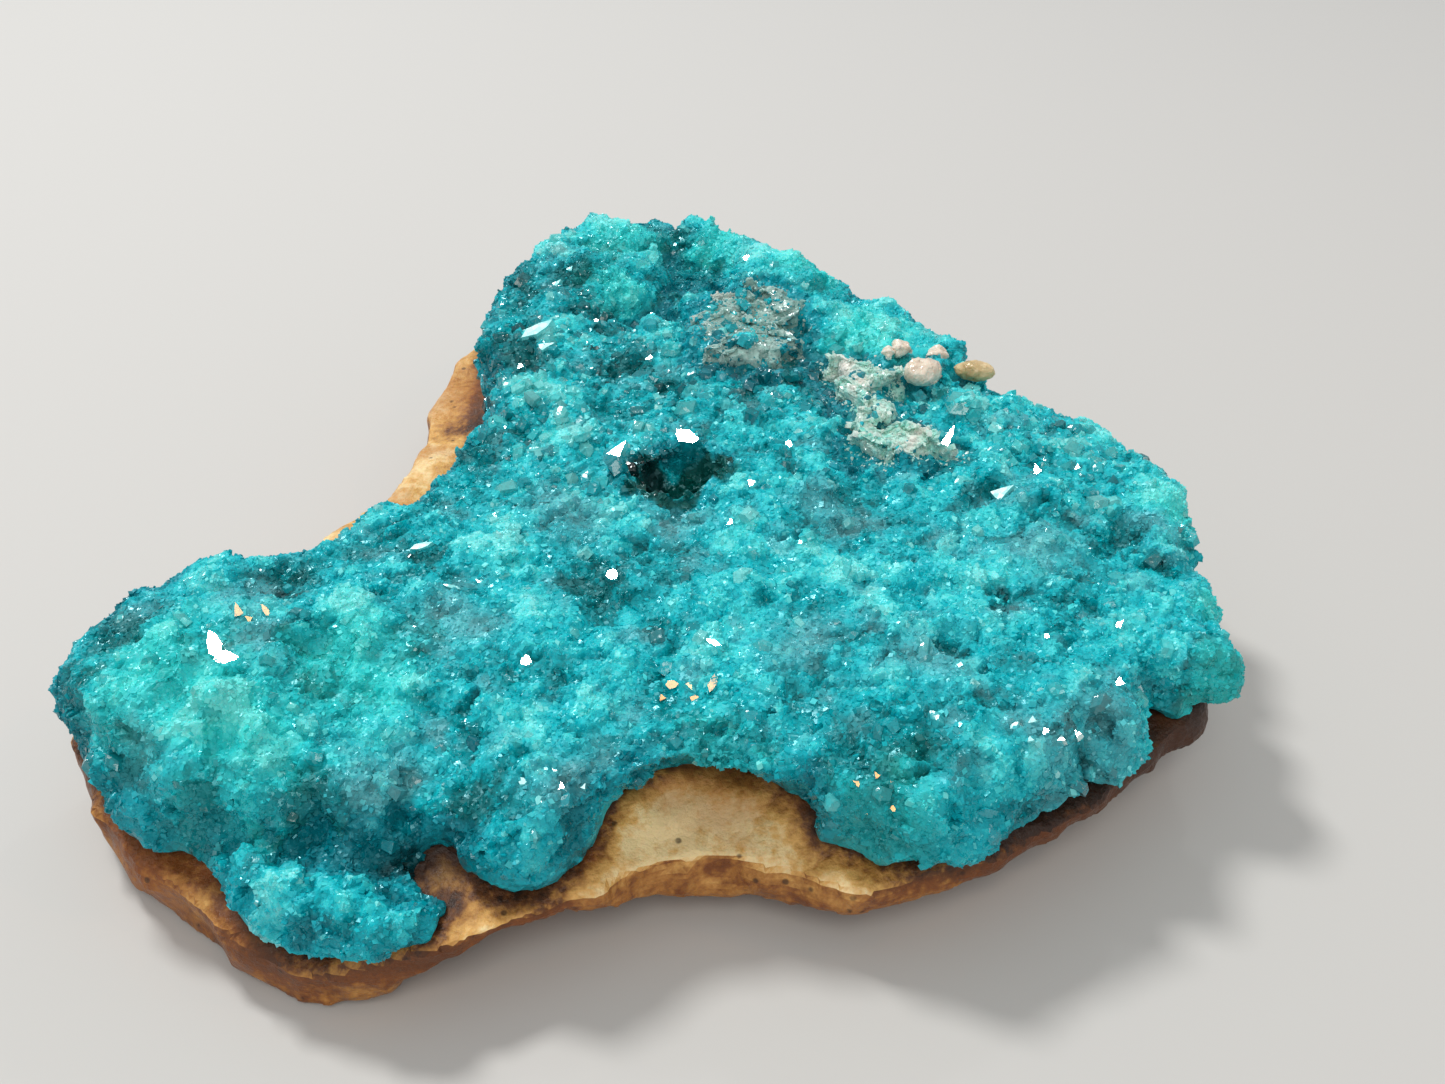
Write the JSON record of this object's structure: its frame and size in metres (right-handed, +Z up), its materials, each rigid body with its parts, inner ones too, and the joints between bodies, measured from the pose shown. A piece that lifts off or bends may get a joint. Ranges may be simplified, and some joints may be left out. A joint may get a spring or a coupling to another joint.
{
  "type": "dioptase cluster",
  "caption": "Mineral specimen: a knobbly crust of small blue-green dioptase crystals on a broken plate of tan rock, with quartz patches and an open pocket.",
  "frame": {"origin": "middle of the footprint of the whole specimen, on the surface it rests on", "axes": "+Z up, through the crust; -Y towards the exposed rock ledge and the overhanging front lobe; +X towards the pointed tip of the crust"},
  "size_m": [0.0398, 0.0404, 0.0091],
  "materials": {
    "matrix_rock": "broken tan and brown rock, dry and granular",
    "dioptase": "translucent glassy crystals, sugary to blocky, sparkling",
    "grey_quartz": "translucent granular quartz",
    "pale_quartz": "pale greenish translucent granular quartz",
    "cream_mineral": "cream grain, waxy",
    "tan_mineral": "tan grain, dull"
  },
  "bodies": {
    "root": {"matrix": "matrix_rock", "dioptase_crust": "dioptase", "grey_quartz_patch": "grey_quartz", "pale_vein": "pale_quartz", "cream_grain": "cream_mineral", "tan_grain": "tan_mineral"}
  },
  "joints": []
}
